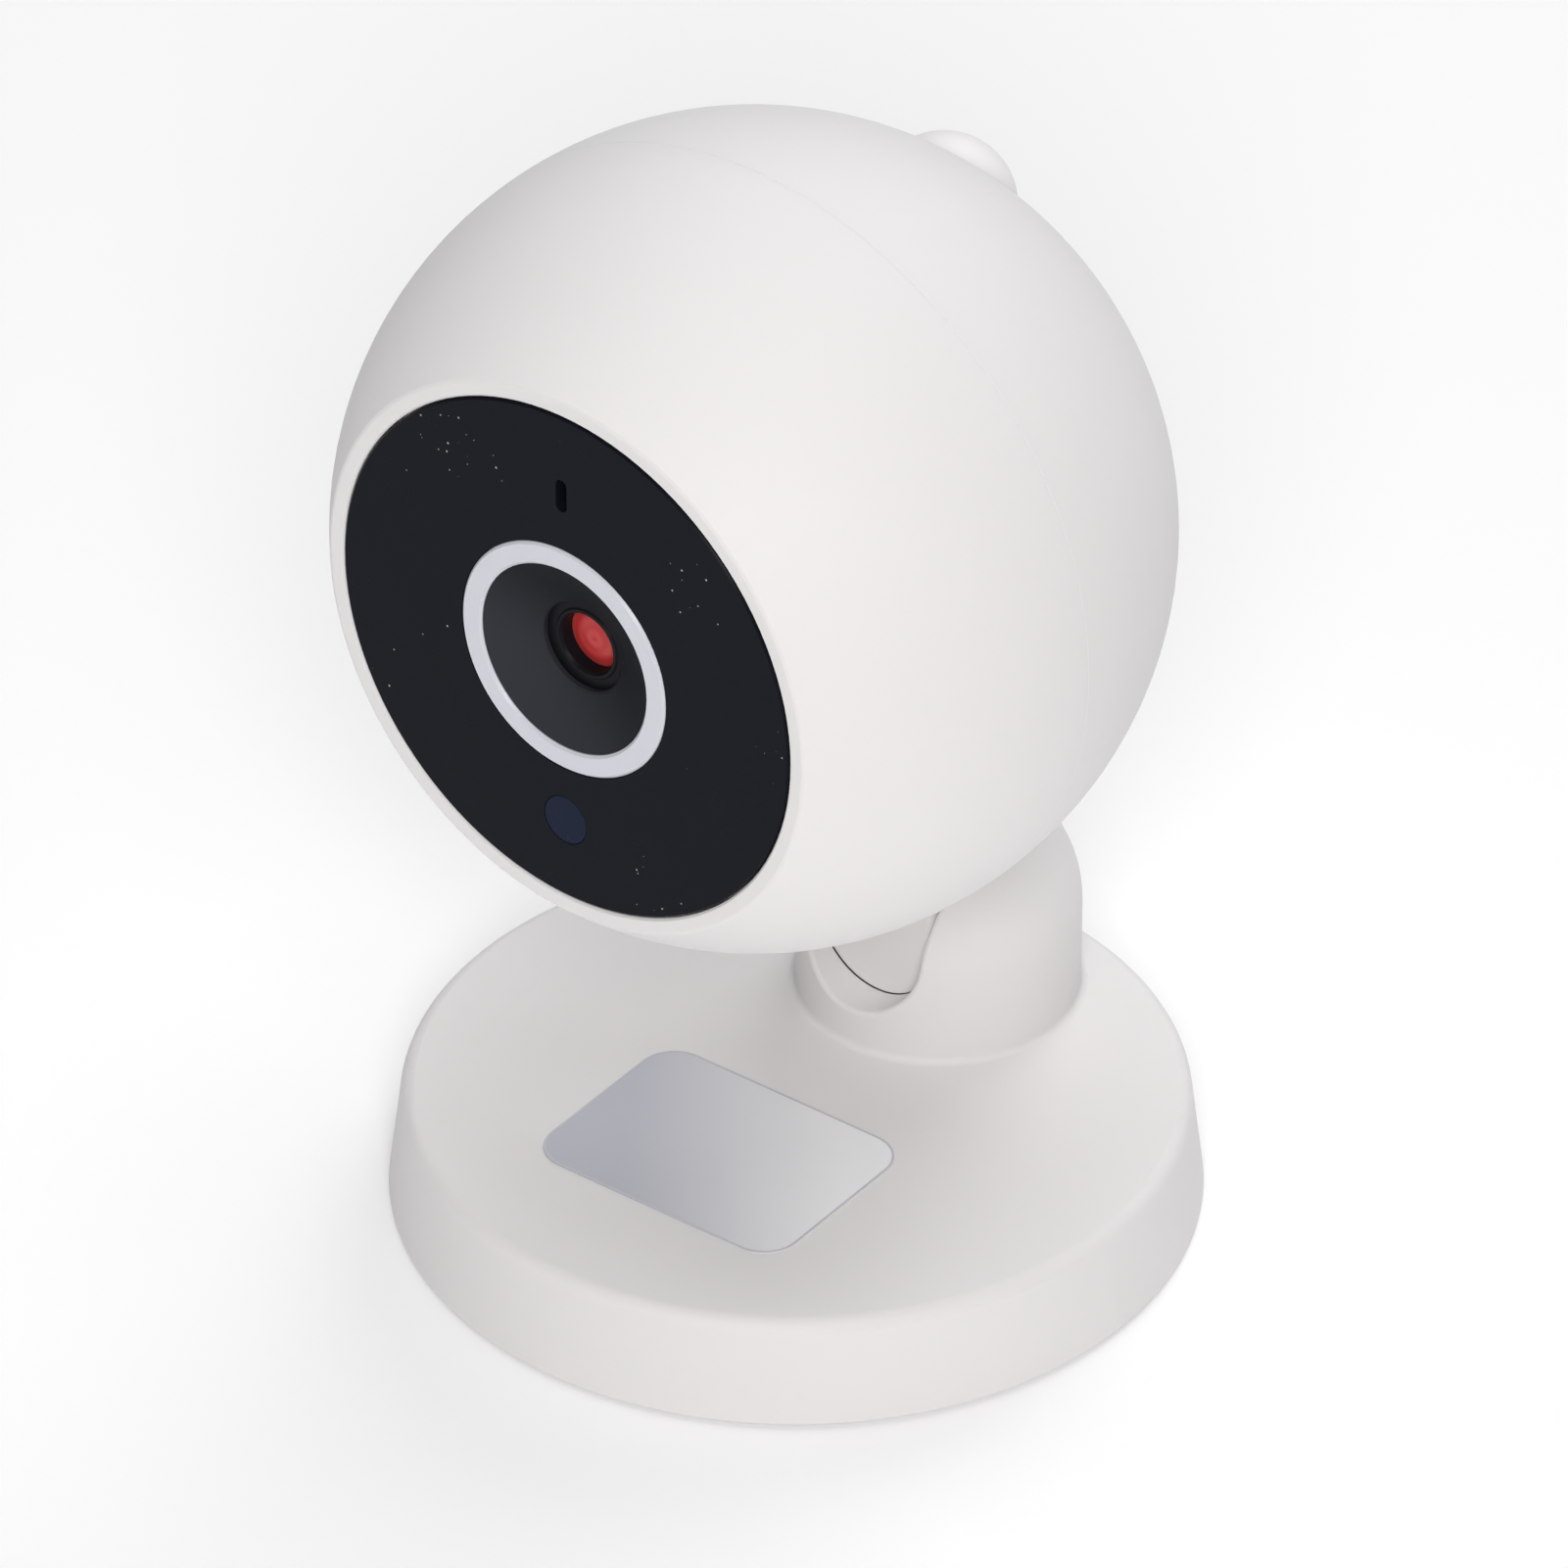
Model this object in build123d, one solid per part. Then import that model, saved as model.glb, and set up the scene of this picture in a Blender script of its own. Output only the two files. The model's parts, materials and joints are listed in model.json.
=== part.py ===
"""Baby monitor camera: a ball-shaped head that tilts on the neck of a weighted round base.

Millimetres. +Z is up, the face looks along -Y and +X is the camera's left-hand side seen from behind.
The origin is the centre of the foot pad's underside.
"""
from build123d import *
import math
import os

# ---------------------------------------------------------------- driving dimensions
# Base
BASE_BOTTOM_R = 40.0
BASE_TOP_R = 38.6
BASE_TOP_Z = 11.7
BASE_EDGE_R = 1.4
BASE_CAVITY_R = 37.0
BASE_ROOF = 2.2              # wall above the cavity
SKIRT_Z = 0.6                # the shell ends this far above the floor
PLATE_THICK = 2.0
PAD_R = 30.0
PAD_THICK = 1.2
BALLAST_R = 33.0
BALLAST_THICK = 5.6
BASE_SCREW_CIRCLE_R = 33.4
BASE_SCREW_SEAT = 1.6
BOSS_R = 2.8
BALLAST_SCREW_SINK = 3.4
LABEL_WIDTH = 29.7
LABEL_DEPTH = 22.2
LABEL_CORNER = 3.8
LABEL_THICK = 0.12
LABEL_X = 1.35
LABEL_Y = -13.57
LABEL_SKEW = 2.15            # degrees

# Neck and tilt hinge
NECK_Y = 22.2
NECK_R = 14.15
NECK_CAVITY_R = 12.0
DOME_Z = 21.4                # centre of the dome that tops the neck
HINGE_Z = 23.0
SLOT_R = 7.0
SLOT_FLARE_TOP = 8.2         # half-width of the slot where it leaves the dome
SLOT_REAR = 8.2              # how far the slot runs behind the hinge axis
SLOT_EDGE_R = 0.4
NECK_FOOT_R = 0.7
TONGUE_R = 6.93
TONGUE_FRONT = 9.8           # flat front of the tongue, ahead of the hinge axis
TONGUE_REAR = 3.0
KNUCKLE_R = 9.0
FRONT_WALL_GAP = 0.15
PIN_R = 1.5
RUNNING_GAP = 0.05
EAR_INNER = 7.25
EAR_THICK = 2.0
EAR_R = 5.5
WASHER_R = 4.5
PIN_HEAD_R = 2.6
PIN_HEAD_THICK = 1.3
NUT_R = 3.0                  # across the corners
NUT_THICK = 1.5

# Head
HEAD_R = 40.0
HEAD_Y = -6.3
HEAD_Z = 80.1
WALL = 2.2
CAVITY_R = HEAD_R - WALL
FACE_D = 27.95               # face plane, ahead of the ball's centre
PANEL_R = 26.85
PANEL_THICK = 1.6
PANEL_GAP = 0.16
LEDGE_R = 24.6
LEDGE_D = 24.6
RIM_ROUND = 0.55
RIM_INNER_CHAMFER = 0.22
SEAM_CHAMFER = 0.05
LIP_DEPTH = 2.0
SHELL_SCREWS = [(22.0, -20.0), (-22.0, -20.0)]   # across and up from the ball's centre

# Face fittings, all measured from the ball's centre
RING_IN_R = 9.95
RING_OUT_R = 12.27
RING_PROUD = 0.16
RING_SOFT_EDGE = 0.25
RING_BACK = 24.9
RING_FLANGE_R = 13.57
FUNNEL_MOUTH_R = 9.85
FUNNEL_HOLE_R = 4.65
FUNNEL_DEPTH = 2.45
BEZEL_FRONT = 27.85
BARREL_R = 5.95
BARREL_MOUTH = 24.65
BARREL_REAR = 10.0
LENS_GLASS_R = 3.1
LENS_CROWN = 23.42           # where the front glass reaches furthest forward
LENS_CROWN_R = 10.5
LENS_SEAT = 21.6
REAR_GLASS_R = 2.2
MIC_Y = 18.3
MIC_SLOT_W = 1.3
MIC_SLOT_H = 3.5
SENSOR_Y = -18.2
SENSOR_R = 2.5
LED_COUNT = 8
LED_CIRCLE_R = 19.6

# Aerial
AERIAL_Y = 22.1
AERIAL_Z = 102.3
AERIAL_BALL_R = 7.05
AERIAL_ROD_R = 3.6
AERIAL_TIP_R = 3.3
AERIAL_LENGTH = 34.0
AERIAL_LEAN = 23.0           # degrees that the folded rod leans out from the vertical
AERIAL_GAP = 0.4
AERIAL_PIN_R = 1.0

# Controls on the rear, on a flat that faces this many degrees to +X of straight back
CONTROL_BEARING = 30.0
CONTROL_FLAT = 37.9
CONTROL_PAD_IN = 35.9
CONTROL_BOARD_OUT = 30.2
CONTROL_POST_V = 12.5
BUTTON_V = 7.5
SWITCH_V = 0.0
SOCKET_V = -7.5
SWITCH_TRAVEL = 2.0
BUTTON_R = 2.4

# Speaker, facing this many degrees to -X of straight back
SPEAKER_BEARING = -52.0
SPEAKER_R = 11.0
SPEAKER_REAR = 26.0
SPEAKER_FRONT = 33.4
GRILLE_PITCH = 2.6
GRILLE_HOLE_R = 0.75

PLASTIC_SCREW_R = 1.1
SMALL_SCREW_R = 0.7
PLASTIC_HEAD_R = 2.1
SCREW_CLEAR_R = 1.3

HEAD = Plane(origin=(0, HEAD_Y, HEAD_Z), x_dir=(1, 0, 0), z_dir=(0, -1, 0)).location
HINGE = Location((0, NECK_Y, HINGE_Z))
AERIAL = Location((0, AERIAL_Y, AERIAL_Z))


def radial_frame(bearing):
    """A frame at the ball's centre whose z axis points out to the rear at this bearing, y axis up."""
    angle = math.radians(bearing)
    outward = (math.sin(angle), math.cos(angle), 0)
    sideways = (-math.cos(angle), math.sin(angle), 0)
    return Plane(origin=(0, HEAD_Y, HEAD_Z), x_dir=sideways, z_dir=outward).location


CONTROLS = radial_frame(CONTROL_BEARING)
SPEAKER = radial_frame(SPEAKER_BEARING)


# ---------------------------------------------------------------- shape helpers
def rod(radius, low, high, x=0.0, y=0.0):
    """A cylinder along z from low to high."""
    return Pos(x, y, (low + high) / 2) * Cylinder(radius, high - low)


def tube(outer, inner, low, high, x=0.0, y=0.0):
    return rod(outer, low, high, x, y) - rod(inner, low - 1, high + 1, x, y)


def cross_rod(radius, low, high, y=0.0, z=0.0):
    """A cylinder along x from low to high."""
    return Pos((low + high) / 2, y, z) * Rot(0, 90, 0) * Cylinder(radius, high - low)


def block(x0, x1, y0, y1, z0, z1):
    """A box given by its two corners."""
    centre = Pos((x0 + x1) / 2, (y0 + y1) / 2, (z0 + z1) / 2)
    return centre * Box(x1 - x0, y1 - y0, z1 - z0)


def turned(points):
    """A solid of revolution about z from (radius, z) points."""
    outline = Polyline(*[(r, 0, z) for r, z in points], close=True)
    return revolve(make_face(outline), Axis.Z)


def obround(width, height, low, high, x=0.0, y=0.0):
    """A bar along z whose section is taller than wide, with round ends."""
    section = SlotOverall(height, width, rotation=90)
    return Pos(x, y, low) * extrude(section, high - low)


def rounded_bar(width, height, corner, low, high, x=0.0, y=0.0):
    return Pos(x, y, low) * extrude(RectangleRounded(width, height, corner), high - low)


def pan_screw(length, shank=PLASTIC_SCREW_R, head=PLASTIC_HEAD_R, head_height=1.3):
    """A self-tapping screw: its head stands above z = 0, its shank runs down, with a cross recess."""
    screw = rod(head, 0, head_height) + rod(shank, -length, 0)
    recess = block(-1.2, 1.2, -0.3, 0.3, head_height - 0.7, head_height + 1)
    return screw - recess - Rot(0, 0, 90) * recess


def around(count, radius, start=0.0):
    """Points evenly spaced on a circle."""
    for index in range(count):
        angle = math.radians(start + 360 * index / count)
        yield radius * math.cos(angle), radius * math.sin(angle)


def corners(x, y):
    return [(x, y), (-x, y), (-x, -y), (x, -y)]


# ---------------------------------------------------------------- base
CAVITY_TOP = BASE_TOP_Z - BASE_ROOF
PLATE_TOP = SKIRT_Z + PLATE_THICK
BASE_SCREWS = list(around(4, BASE_SCREW_CIRCLE_R, 45))
BRACKET_PLATE_TOP = 7.5
BRACKET_PLATE_THICK = 2.5
BRACKET_SCREWS = [(x, NECK_Y + y) for x, y in corners(12.0, 6.5)]
BALLAST_SCREWS = [(x, -12.0) for x in (-18.0, 18.0)]
BALLAST_TOP = 8.6


def u_slot(half_width, top_half_width, front, back):
    """The neck's slot: round below, flared above, running along y past both ends."""
    height = NECK_R + 4
    below = Pos(0, (front + back) / 2, 0) * Rot(90, 0, 0) * Cylinder(half_width, back - front)
    outline = Polyline(
        (-half_width, 0), (half_width, 0), (top_half_width, height), (-top_half_width, height), close=True
    )
    above = extrude(make_face(Plane.XZ * outline), front - back)
    return below + Pos(0, front, 0) * above


def on_slot_mouth(edge):
    """True for an edge where the slot leaves the front of the neck."""
    middle = edge.position_at(0.5)
    axis_height = min(max(middle.Z, BASE_TOP_Z), DOME_Z)
    from_neck = (middle - Vector(0, NECK_Y, axis_height)).length
    return abs(from_neck - NECK_R) < 0.01 and abs(middle.X) < SLOT_FLARE_TOP and middle.Y < NECK_Y - SLOT_REAR


def base_shell():
    outer = turned([(0, SKIRT_Z), (BASE_BOTTOM_R, SKIRT_Z), (BASE_TOP_R, BASE_TOP_Z), (0, BASE_TOP_Z)])
    outer = fillet(outer.edges().sort_by(Axis.Z)[-1], BASE_EDGE_R)
    neck = rod(NECK_R, CAVITY_TOP, DOME_Z, y=NECK_Y) + Pos(0, NECK_Y, DOME_Z) * Sphere(NECK_R)
    outer = outer + neck
    foot = [e for e in outer.edges().filter_by(GeomType.CIRCLE)
            if abs(e.radius - NECK_R) < 0.01 and abs(e.center().Z - BASE_TOP_Z) < 0.01]
    outer = fillet(foot, NECK_FOOT_R)
    cavity = rod(BASE_CAVITY_R, -1, CAVITY_TOP)
    neck_cavity = rod(NECK_CAVITY_R, 0, DOME_Z, y=NECK_Y) + Pos(0, NECK_Y, DOME_Z) * Sphere(NECK_CAVITY_R)
    front = NECK_Y - TONGUE_FRONT - FRONT_WALL_GAP
    neck_cavity = neck_cavity & block(-20, 20, front, NECK_Y + 20, -1, 60)
    slot = HINGE * u_slot(SLOT_R, SLOT_FLARE_TOP, -NECK_R - 2, -NECK_CAVITY_R / 2)
    plan = rounded_bar(20, 20, 2.0, 0, 30, y=SLOT_REAR - 10)
    top_slot = HINGE * (u_slot(SLOT_R, SLOT_FLARE_TOP, -NECK_R, SLOT_REAR) & plan)
    outer = outer - slot
    mouth = [e for e in outer.edges() if on_slot_mouth(e)]
    shell = fillet(mouth, SLOT_EDGE_R) - cavity - neck_cavity - top_slot
    bosses = ((BASE_SCREWS, PLATE_TOP), (BRACKET_SCREWS, BRACKET_PLATE_TOP), (BALLAST_SCREWS, BALLAST_TOP))
    for points, low in bosses:
        for x, y in points:
            shell = shell + rod(BOSS_R, low, CAVITY_TOP + 0.5, x, y)
            shell = shell - rod(PLASTIC_SCREW_R, 0, CAVITY_TOP + 1.0, x, y)
    return shell


def base_plate():
    plate = rod(BASE_CAVITY_R - 0.15, SKIRT_Z, PLATE_TOP)
    plate = plate - rod(PAD_R + 0.1, 0, PAD_THICK)
    for x, y in BASE_SCREWS:
        plate = plate - rod(SCREW_CLEAR_R, 0, 5, x, y)
        plate = plate - rod(PLASTIC_HEAD_R + 0.2, 0, BASE_SCREW_SEAT, x, y)
    return plate


def base_screws():
    screw = Pos(0, 0, BASE_SCREW_SEAT) * Rot(180, 0, 0) * pan_screw(6.5, head_height=0.9)
    return [Pos(x, y, 0) * screw for x, y in BASE_SCREWS]


def foot_pad():
    pad = rod(PAD_R, 0, PAD_THICK)
    return chamfer(pad.edges().sort_by(Axis.Z)[0], 0.25)


def ballast_weight():
    """A cast slab under the front of the base, clear of the base's screw bosses."""
    weight = rod(BALLAST_R, BALLAST_TOP - BALLAST_THICK, BALLAST_TOP)
    weight = weight & block(-40, 40, -40, 4, 0, 20)
    for x, y in BASE_SCREWS:
        weight = weight - rod(BOSS_R + 0.8, 0, 20, x, y)
    for x, y in BALLAST_SCREWS:
        weight = weight - rod(SCREW_CLEAR_R, 0, 20, x, y)
        weight = weight - rod(PLASTIC_HEAD_R + 0.4, 0, BALLAST_TOP - BALLAST_SCREW_SINK, x, y)
    return weight


def ballast_screws():
    screw = Pos(0, 0, BALLAST_TOP - BALLAST_SCREW_SINK) * Rot(180, 0, 0) * pan_screw(5.0)
    return [Pos(x, y, 0) * screw for x, y in BALLAST_SCREWS]


def base_label():
    """A thin blank sticker, put on a little off centre and a few degrees askew."""
    label = rounded_bar(LABEL_WIDTH, LABEL_DEPTH, LABEL_CORNER, BASE_TOP_Z, BASE_TOP_Z + LABEL_THICK)
    return Pos(LABEL_X, LABEL_Y, 0) * Rot(0, 0, LABEL_SKEW) * label


# ---------------------------------------------------------------- tilt hinge
def hinge_bracket():
    """A plate under the base's roof with two ears that stand up inside the neck."""
    low = BRACKET_PLATE_TOP - BRACKET_PLATE_THICK
    plate = Pos(0, NECK_Y, 0) * rounded_bar(30.0, 19.0, 3.0, low, BRACKET_PLATE_TOP)
    ear = cross_rod(EAR_R, EAR_INNER, EAR_INNER + EAR_THICK, NECK_Y, HINGE_Z)
    ear = ear + block(EAR_INNER, EAR_INNER + EAR_THICK, NECK_Y - EAR_R, NECK_Y + EAR_R, low, HINGE_Z)
    bracket = plate + ear + mirror(ear, Plane.YZ)
    for x, y in BRACKET_SCREWS:
        bracket = bracket - rod(SCREW_CLEAR_R, 0, 20, x, y)
    return bracket - cross_rod(PIN_R + RUNNING_GAP, -20, 20, NECK_Y, HINGE_Z)


def bracket_screws():
    low = BRACKET_PLATE_TOP - BRACKET_PLATE_THICK
    screw = Pos(0, 0, low) * Rot(180, 0, 0) * pan_screw(5.2)
    return [Pos(x, y, 0) * screw for x, y in BRACKET_SCREWS]


def hinge_pin():
    """A shouldered pin with a flat head at +X and its end in the nut at -X."""
    ear_outer = EAR_INNER + EAR_THICK
    head = cross_rod(PIN_HEAD_R, ear_outer, ear_outer + PIN_HEAD_THICK)
    return HINGE * (cross_rod(PIN_R, -ear_outer - NUT_THICK + 0.1, ear_outer) + head)


def hinge_nut():
    ear_outer = EAR_INNER + EAR_THICK
    nut = extrude(RegularPolygon(NUT_R, 6), NUT_THICK)
    nut = Pos(-ear_outer, 0, 0) * Rot(0, -90, 0) * nut
    return HINGE * (nut - cross_rod(PIN_R, -20, 0))


def friction_washers():
    low = TONGUE_R + RUNNING_GAP
    washer = HINGE * (cross_rod(WASHER_R, low, EAR_INNER) - cross_rod(PIN_R + RUNNING_GAP, 0, 20))
    return [washer, mirror(washer, Plane.YZ)]


ARM_FLANGE_LOW = 57.5
ARM_FLANGE_HIGH = 67.5
ARM_FLANGE_THICK = 4.0
ARM_SCREW_X = 11.0
ARM_SCREW_Z = 62.5


def tilt_arm():
    """Knuckle, round-bottomed tongue and the flange that is screwed inside the head."""
    chin = u_slot(TONGUE_R, TONGUE_R, -TONGUE_FRONT, 0) & block(-10, 10, -TONGUE_FRONT, 0, -10, 0)
    depth = TONGUE_FRONT + TONGUE_REAR
    slab = rounded_bar(2 * TONGUE_R, depth, 0.9, 0, ARM_FLANGE_HIGH - HINGE_Z, y=depth / 2 - TONGUE_FRONT)
    arm = HINGE * (cross_rod(KNUCKLE_R, -TONGUE_R, TONGUE_R) + chin + slab)
    flange_y = NECK_Y - TONGUE_FRONT
    flange = block(-14.5, 14.5, flange_y, flange_y + ARM_FLANGE_THICK, ARM_FLANGE_LOW, ARM_FLANGE_HIGH)
    arm = arm + flange
    arm = arm - cross_rod(PIN_R + RUNNING_GAP, -20, 20, NECK_Y, HINGE_Z)
    for x in (-ARM_SCREW_X, ARM_SCREW_X):
        arm = arm - Pos(x, 0, ARM_SCREW_Z) * Rot(90, 0, 0) * Cylinder(SCREW_CLEAR_R, 80)
    return arm


def arm_screws():
    face = NECK_Y - TONGUE_FRONT
    screw = Rot(90, 0, 0) * pan_screw(11.0)
    return [Pos(x, face, ARM_SCREW_Z) * screw for x in (-ARM_SCREW_X, ARM_SCREW_X)]


# ---------------------------------------------------------------- head shells
CARRIER_SCREWS = list(around(4, 26.8))
CARRIER_D = 22.3
CARRIER_THICK = 1.8
SCREW_SEAT_D = -9.0          # the shell screws' heads sit here, behind the parting plane


def head_front_shell():
    """The front half of the ball, in its own frame with z out of the face."""
    shell = Sphere(HEAD_R) & rod(HEAD_R, 0, FACE_D)
    rim = shell.edges().filter_by(GeomType.CIRCLE).sort_by(Axis.Z)[-1]
    shell = fillet(rim, RIM_ROUND)
    seam = shell.edges().filter_by(GeomType.CIRCLE).sort_by(Axis.Z)[0]
    shell = chamfer(seam, SEAM_CHAMFER)
    shell = shell - (Sphere(CAVITY_R) & rod(HEAD_R, -HEAD_R, LEDGE_D))
    bore = PANEL_R + PANEL_GAP
    edge = RIM_INNER_CHAMFER
    countersink = turned([
        (0, FACE_D - PANEL_THICK), (bore, FACE_D - PANEL_THICK), (bore, FACE_D - edge),
        (bore + 2 * edge, FACE_D + edge), (0, FACE_D + edge),
    ])
    shell = shell - rod(LEDGE_R, 0, HEAD_R) - countersink
    inside = Sphere(HEAD_R - 0.5)
    for x, y in SHELL_SCREWS:
        shell = shell + (tube(2.8, PLASTIC_SCREW_R, LIP_DEPTH + 0.4, 24.0, x, y) & inside)
    for x, y in CARRIER_SCREWS:
        shell = shell + tube(2.0, PLASTIC_SCREW_R, CARRIER_D, LEDGE_D + 0.4, x, y)
    return HEAD * shell


def aerial_axis_frame():
    """A frame at the aerial's knuckle with z along the folded rod."""
    return AERIAL * Rot(180 + AERIAL_LEAN, 0, 0)


def aerial_channel(extra):
    """The open channel that the folded aerial's rod lies in, grown by this much, running out of the ball."""
    half = AERIAL_ROD_R + extra
    length = AERIAL_LENGTH + 4 + extra
    section = SlotOverall(60, 2 * half, rotation=90)
    return aerial_axis_frame() * (Pos(0, half - 30, 0) * extrude(section, length))


def aerial_socket(extra):
    """The ball socket at the channel's upper end, grown by this much."""
    return AERIAL * Sphere(AERIAL_BALL_R + extra)


def speaker_grille():
    """Round holes on a triangular grid inside a circle."""
    pitch = GRILLE_PITCH
    holes = []
    for row in range(-4, 5):
        for column in range(-4, 5):
            x = (column + 0.5 * (row % 2)) * pitch
            y = row * pitch * math.sqrt(3) / 2
            if math.hypot(x, y) < 3.2 * pitch:
                holes.append(rod(GRILLE_HOLE_R, 30, 45, x, y))
    return SPEAKER * Compound(children=holes)


def rear_half_ball(radius):
    return Sphere(radius) & rod(HEAD_R, -HEAD_R, 0)


def head_rear_shell():
    """The rear half of the ball with everything that is moulded into it."""
    seam = HEAD_R - SEAM_CHAMFER
    past = HEAD_R + 1
    bevel = turned([(seam, 0), (past, seam - past), (past, 1), (seam, 1)])
    shell = rear_half_ball(HEAD_R) - bevel - Sphere(CAVITY_R)
    lip = Sphere(CAVITY_R - 0.1) & rod(HEAD_R, -3, LIP_DEPTH)
    lip = lip - Sphere(CAVITY_R - 1.3)
    root = (Sphere(CAVITY_R + 0.5) - Sphere(CAVITY_R - 1.3)) & rod(HEAD_R, -3, -0.8)
    shell = shell + lip + root
    inside = rear_half_ball(HEAD_R - 0.5)
    for x, y in SHELL_SCREWS:
        shell = shell + (rod(3.4, -HEAD_R, LIP_DEPTH + 0.3, x, y) & Sphere(HEAD_R - 0.5))
    for x, y in SHELL_SCREWS:
        shell = shell - rod(SCREW_CLEAR_R, -HEAD_R, LIP_DEPTH + 1, x, y)
        shell = shell - rod(PLASTIC_HEAD_R + 0.3, -HEAD_R - 1, SCREW_SEAT_D, x, y)
    shell = HEAD * shell
    inside = HEAD * inside

    boss_face = NECK_Y - TONGUE_FRONT + ARM_FLANGE_THICK
    for x in (-ARM_SCREW_X, ARM_SCREW_X):
        boss = Pos(x, boss_face, ARM_SCREW_Z) * Rot(-90, 0, 0) * tube(2.6, PLASTIC_SCREW_R, 0, 20)
        shell = shell + (boss & inside)
    gap = 0.1
    shell = shell - block(-TONGUE_R - gap, TONGUE_R + gap, NECK_Y - TONGUE_FRONT - gap,
                          NECK_Y + TONGUE_REAR + gap, 30, 66)

    shell = shell + (CONTROLS * rounded_bar(12, 30, 3, CONTROL_PAD_IN, HEAD_R) & inside)
    shell = shell - CONTROLS * obround(9.0, 26.0, CONTROL_FLAT, HEAD_R + 2)
    shell = shell - CONTROLS * rod(BUTTON_R + 0.2, 30, 45, y=BUTTON_V)
    shell = shell - CONTROLS * rounded_bar(1.9, 4.2, 0.4, 30, 45, y=SWITCH_V)
    shell = shell - CONTROLS * rounded_bar(8.2, 3.4, 1.2, 30, 45, y=SOCKET_V)
    for v in (-CONTROL_POST_V, CONTROL_POST_V):
        shell = shell + CONTROLS * tube(1.7, SMALL_SCREW_R, CONTROL_BOARD_OUT, CONTROL_PAD_IN + 0.2, y=v)

    seat = SPEAKER * tube(SPEAKER_R + 1.8, SPEAKER_R + 0.2, 32.5, HEAD_R)
    shell = shell + (seat & inside) - speaker_grille()

    thick = AERIAL_GAP + 1.6
    pin_boss = AERIAL * cross_rod(2.6, -11.0, 11.0)
    for piece in (aerial_socket(thick), aerial_channel(thick), pin_boss):
        shell = shell + (piece & inside)
    shell = shell - aerial_socket(AERIAL_GAP) - aerial_channel(AERIAL_GAP)
    return shell - AERIAL * cross_rod(AERIAL_PIN_R, -10.0, 10.0)


def shell_screws():
    screw = Pos(0, 0, SCREW_SEAT_D) * Rot(180, 0, 0) * pan_screw(19.0)
    return [HEAD * Pos(x, y, 0) * screw for x, y in SHELL_SCREWS]


# ---------------------------------------------------------------- face
def face_panel():
    """The dark window disc with its openings for the ring, microphone and light sensor."""
    panel = rod(PANEL_R, FACE_D - PANEL_THICK, FACE_D)
    panel = chamfer(panel.edges().filter_by(GeomType.CIRCLE).sort_by(Axis.Z)[-1], 0.15)
    panel = panel - rod(RING_OUT_R + 0.1, 0, HEAD_R)
    panel = panel - obround(MIC_SLOT_W, MIC_SLOT_H, 20, HEAD_R, y=MIC_Y)
    panel = panel - rod(SENSOR_R + 0.08, 20, HEAD_R, y=SENSOR_Y)
    return HEAD * panel


def light_ring():
    """The diffuser ring, with a flange that is trapped behind the panel."""
    front = FACE_D + RING_PROUD
    behind_panel = FACE_D - PANEL_THICK - 0.1
    soft = RING_SOFT_EDGE
    return HEAD * turned([
        (RING_IN_R, RING_BACK), (RING_FLANGE_R, RING_BACK), (RING_FLANGE_R, behind_panel),
        (RING_OUT_R, behind_panel), (RING_OUT_R, front - soft), (RING_OUT_R - soft, front),
        (RING_IN_R + soft, front), (RING_IN_R, front - soft),
    ])


def lens_bezel():
    """The matt funnel round the lens."""
    hole = BEZEL_FRONT - FUNNEL_DEPTH
    back = BARREL_MOUTH + 0.05
    edge = 0.2
    return HEAD * turned([
        (FUNNEL_MOUTH_R, BEZEL_FRONT), (FUNNEL_HOLE_R + edge, hole), (FUNNEL_HOLE_R, hole - edge),
        (FUNNEL_HOLE_R, back), (FUNNEL_MOUTH_R, back),
    ])


def lens_barrel():
    """The barrel: a raised lip round its mouth, and a bore that steps in at the seat of the front glass."""
    shoulder = BARREL_MOUTH - 0.15
    return HEAD * turned([
        (LENS_GLASS_R, BARREL_MOUTH - 0.3), (LENS_GLASS_R + 0.2, BARREL_MOUTH),
        (LENS_GLASS_R + 0.5, BARREL_MOUTH), (LENS_GLASS_R + 0.65, shoulder), (BARREL_R, shoulder),
        (BARREL_R, BARREL_REAR), (REAR_GLASS_R, BARREL_REAR), (REAR_GLASS_R, LENS_SEAT),
        (LENS_GLASS_R, LENS_SEAT),
    ])


def lens_front_glass():
    """A plano-convex element that sits deep in the mouth of the barrel."""
    ball = Pos(0, 0, LENS_CROWN - LENS_CROWN_R) * Sphere(LENS_CROWN_R)
    return HEAD * (rod(LENS_GLASS_R, LENS_SEAT, LENS_CROWN + 1) & ball)


def lens_rear_glass():
    return HEAD * rod(REAR_GLASS_R, 12.0, 13.4)


def lens_holder():
    """The square mount on the sensor board, with a collar that carries the barrel."""
    board = SENSOR_BOARD_D + SENSOR_BOARD_THICK
    floor = BARREL_REAR - 1.0
    collar_end = 16.0
    holder = rounded_bar(15.5, 15.5, 1.5, board, BARREL_REAR - 0.1)
    holder = holder + rod(BARREL_R + 1.65, BARREL_REAR - 0.1, collar_end)
    return HEAD * (holder - rod(BARREL_R, floor, collar_end + 1) - rod(5.0, board - 1, BARREL_REAR))


def image_sensor():
    board = SENSOR_BOARD_D + SENSOR_BOARD_THICK
    return HEAD * rounded_bar(6.4, 5.8, 0.3, board, board + 1.0)


SENSOR_BOARD_SCREWS = [(9.2, 9.2), (-9.2, -9.2)]
MAIN_BOARD_SCREWS = corners(13.5, 18.5)
SENSOR_BOARD_D = 6.0
SENSOR_BOARD_THICK = 1.4
MAIN_BOARD_D = -11.9
MAIN_BOARD_THICK = 1.6


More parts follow.
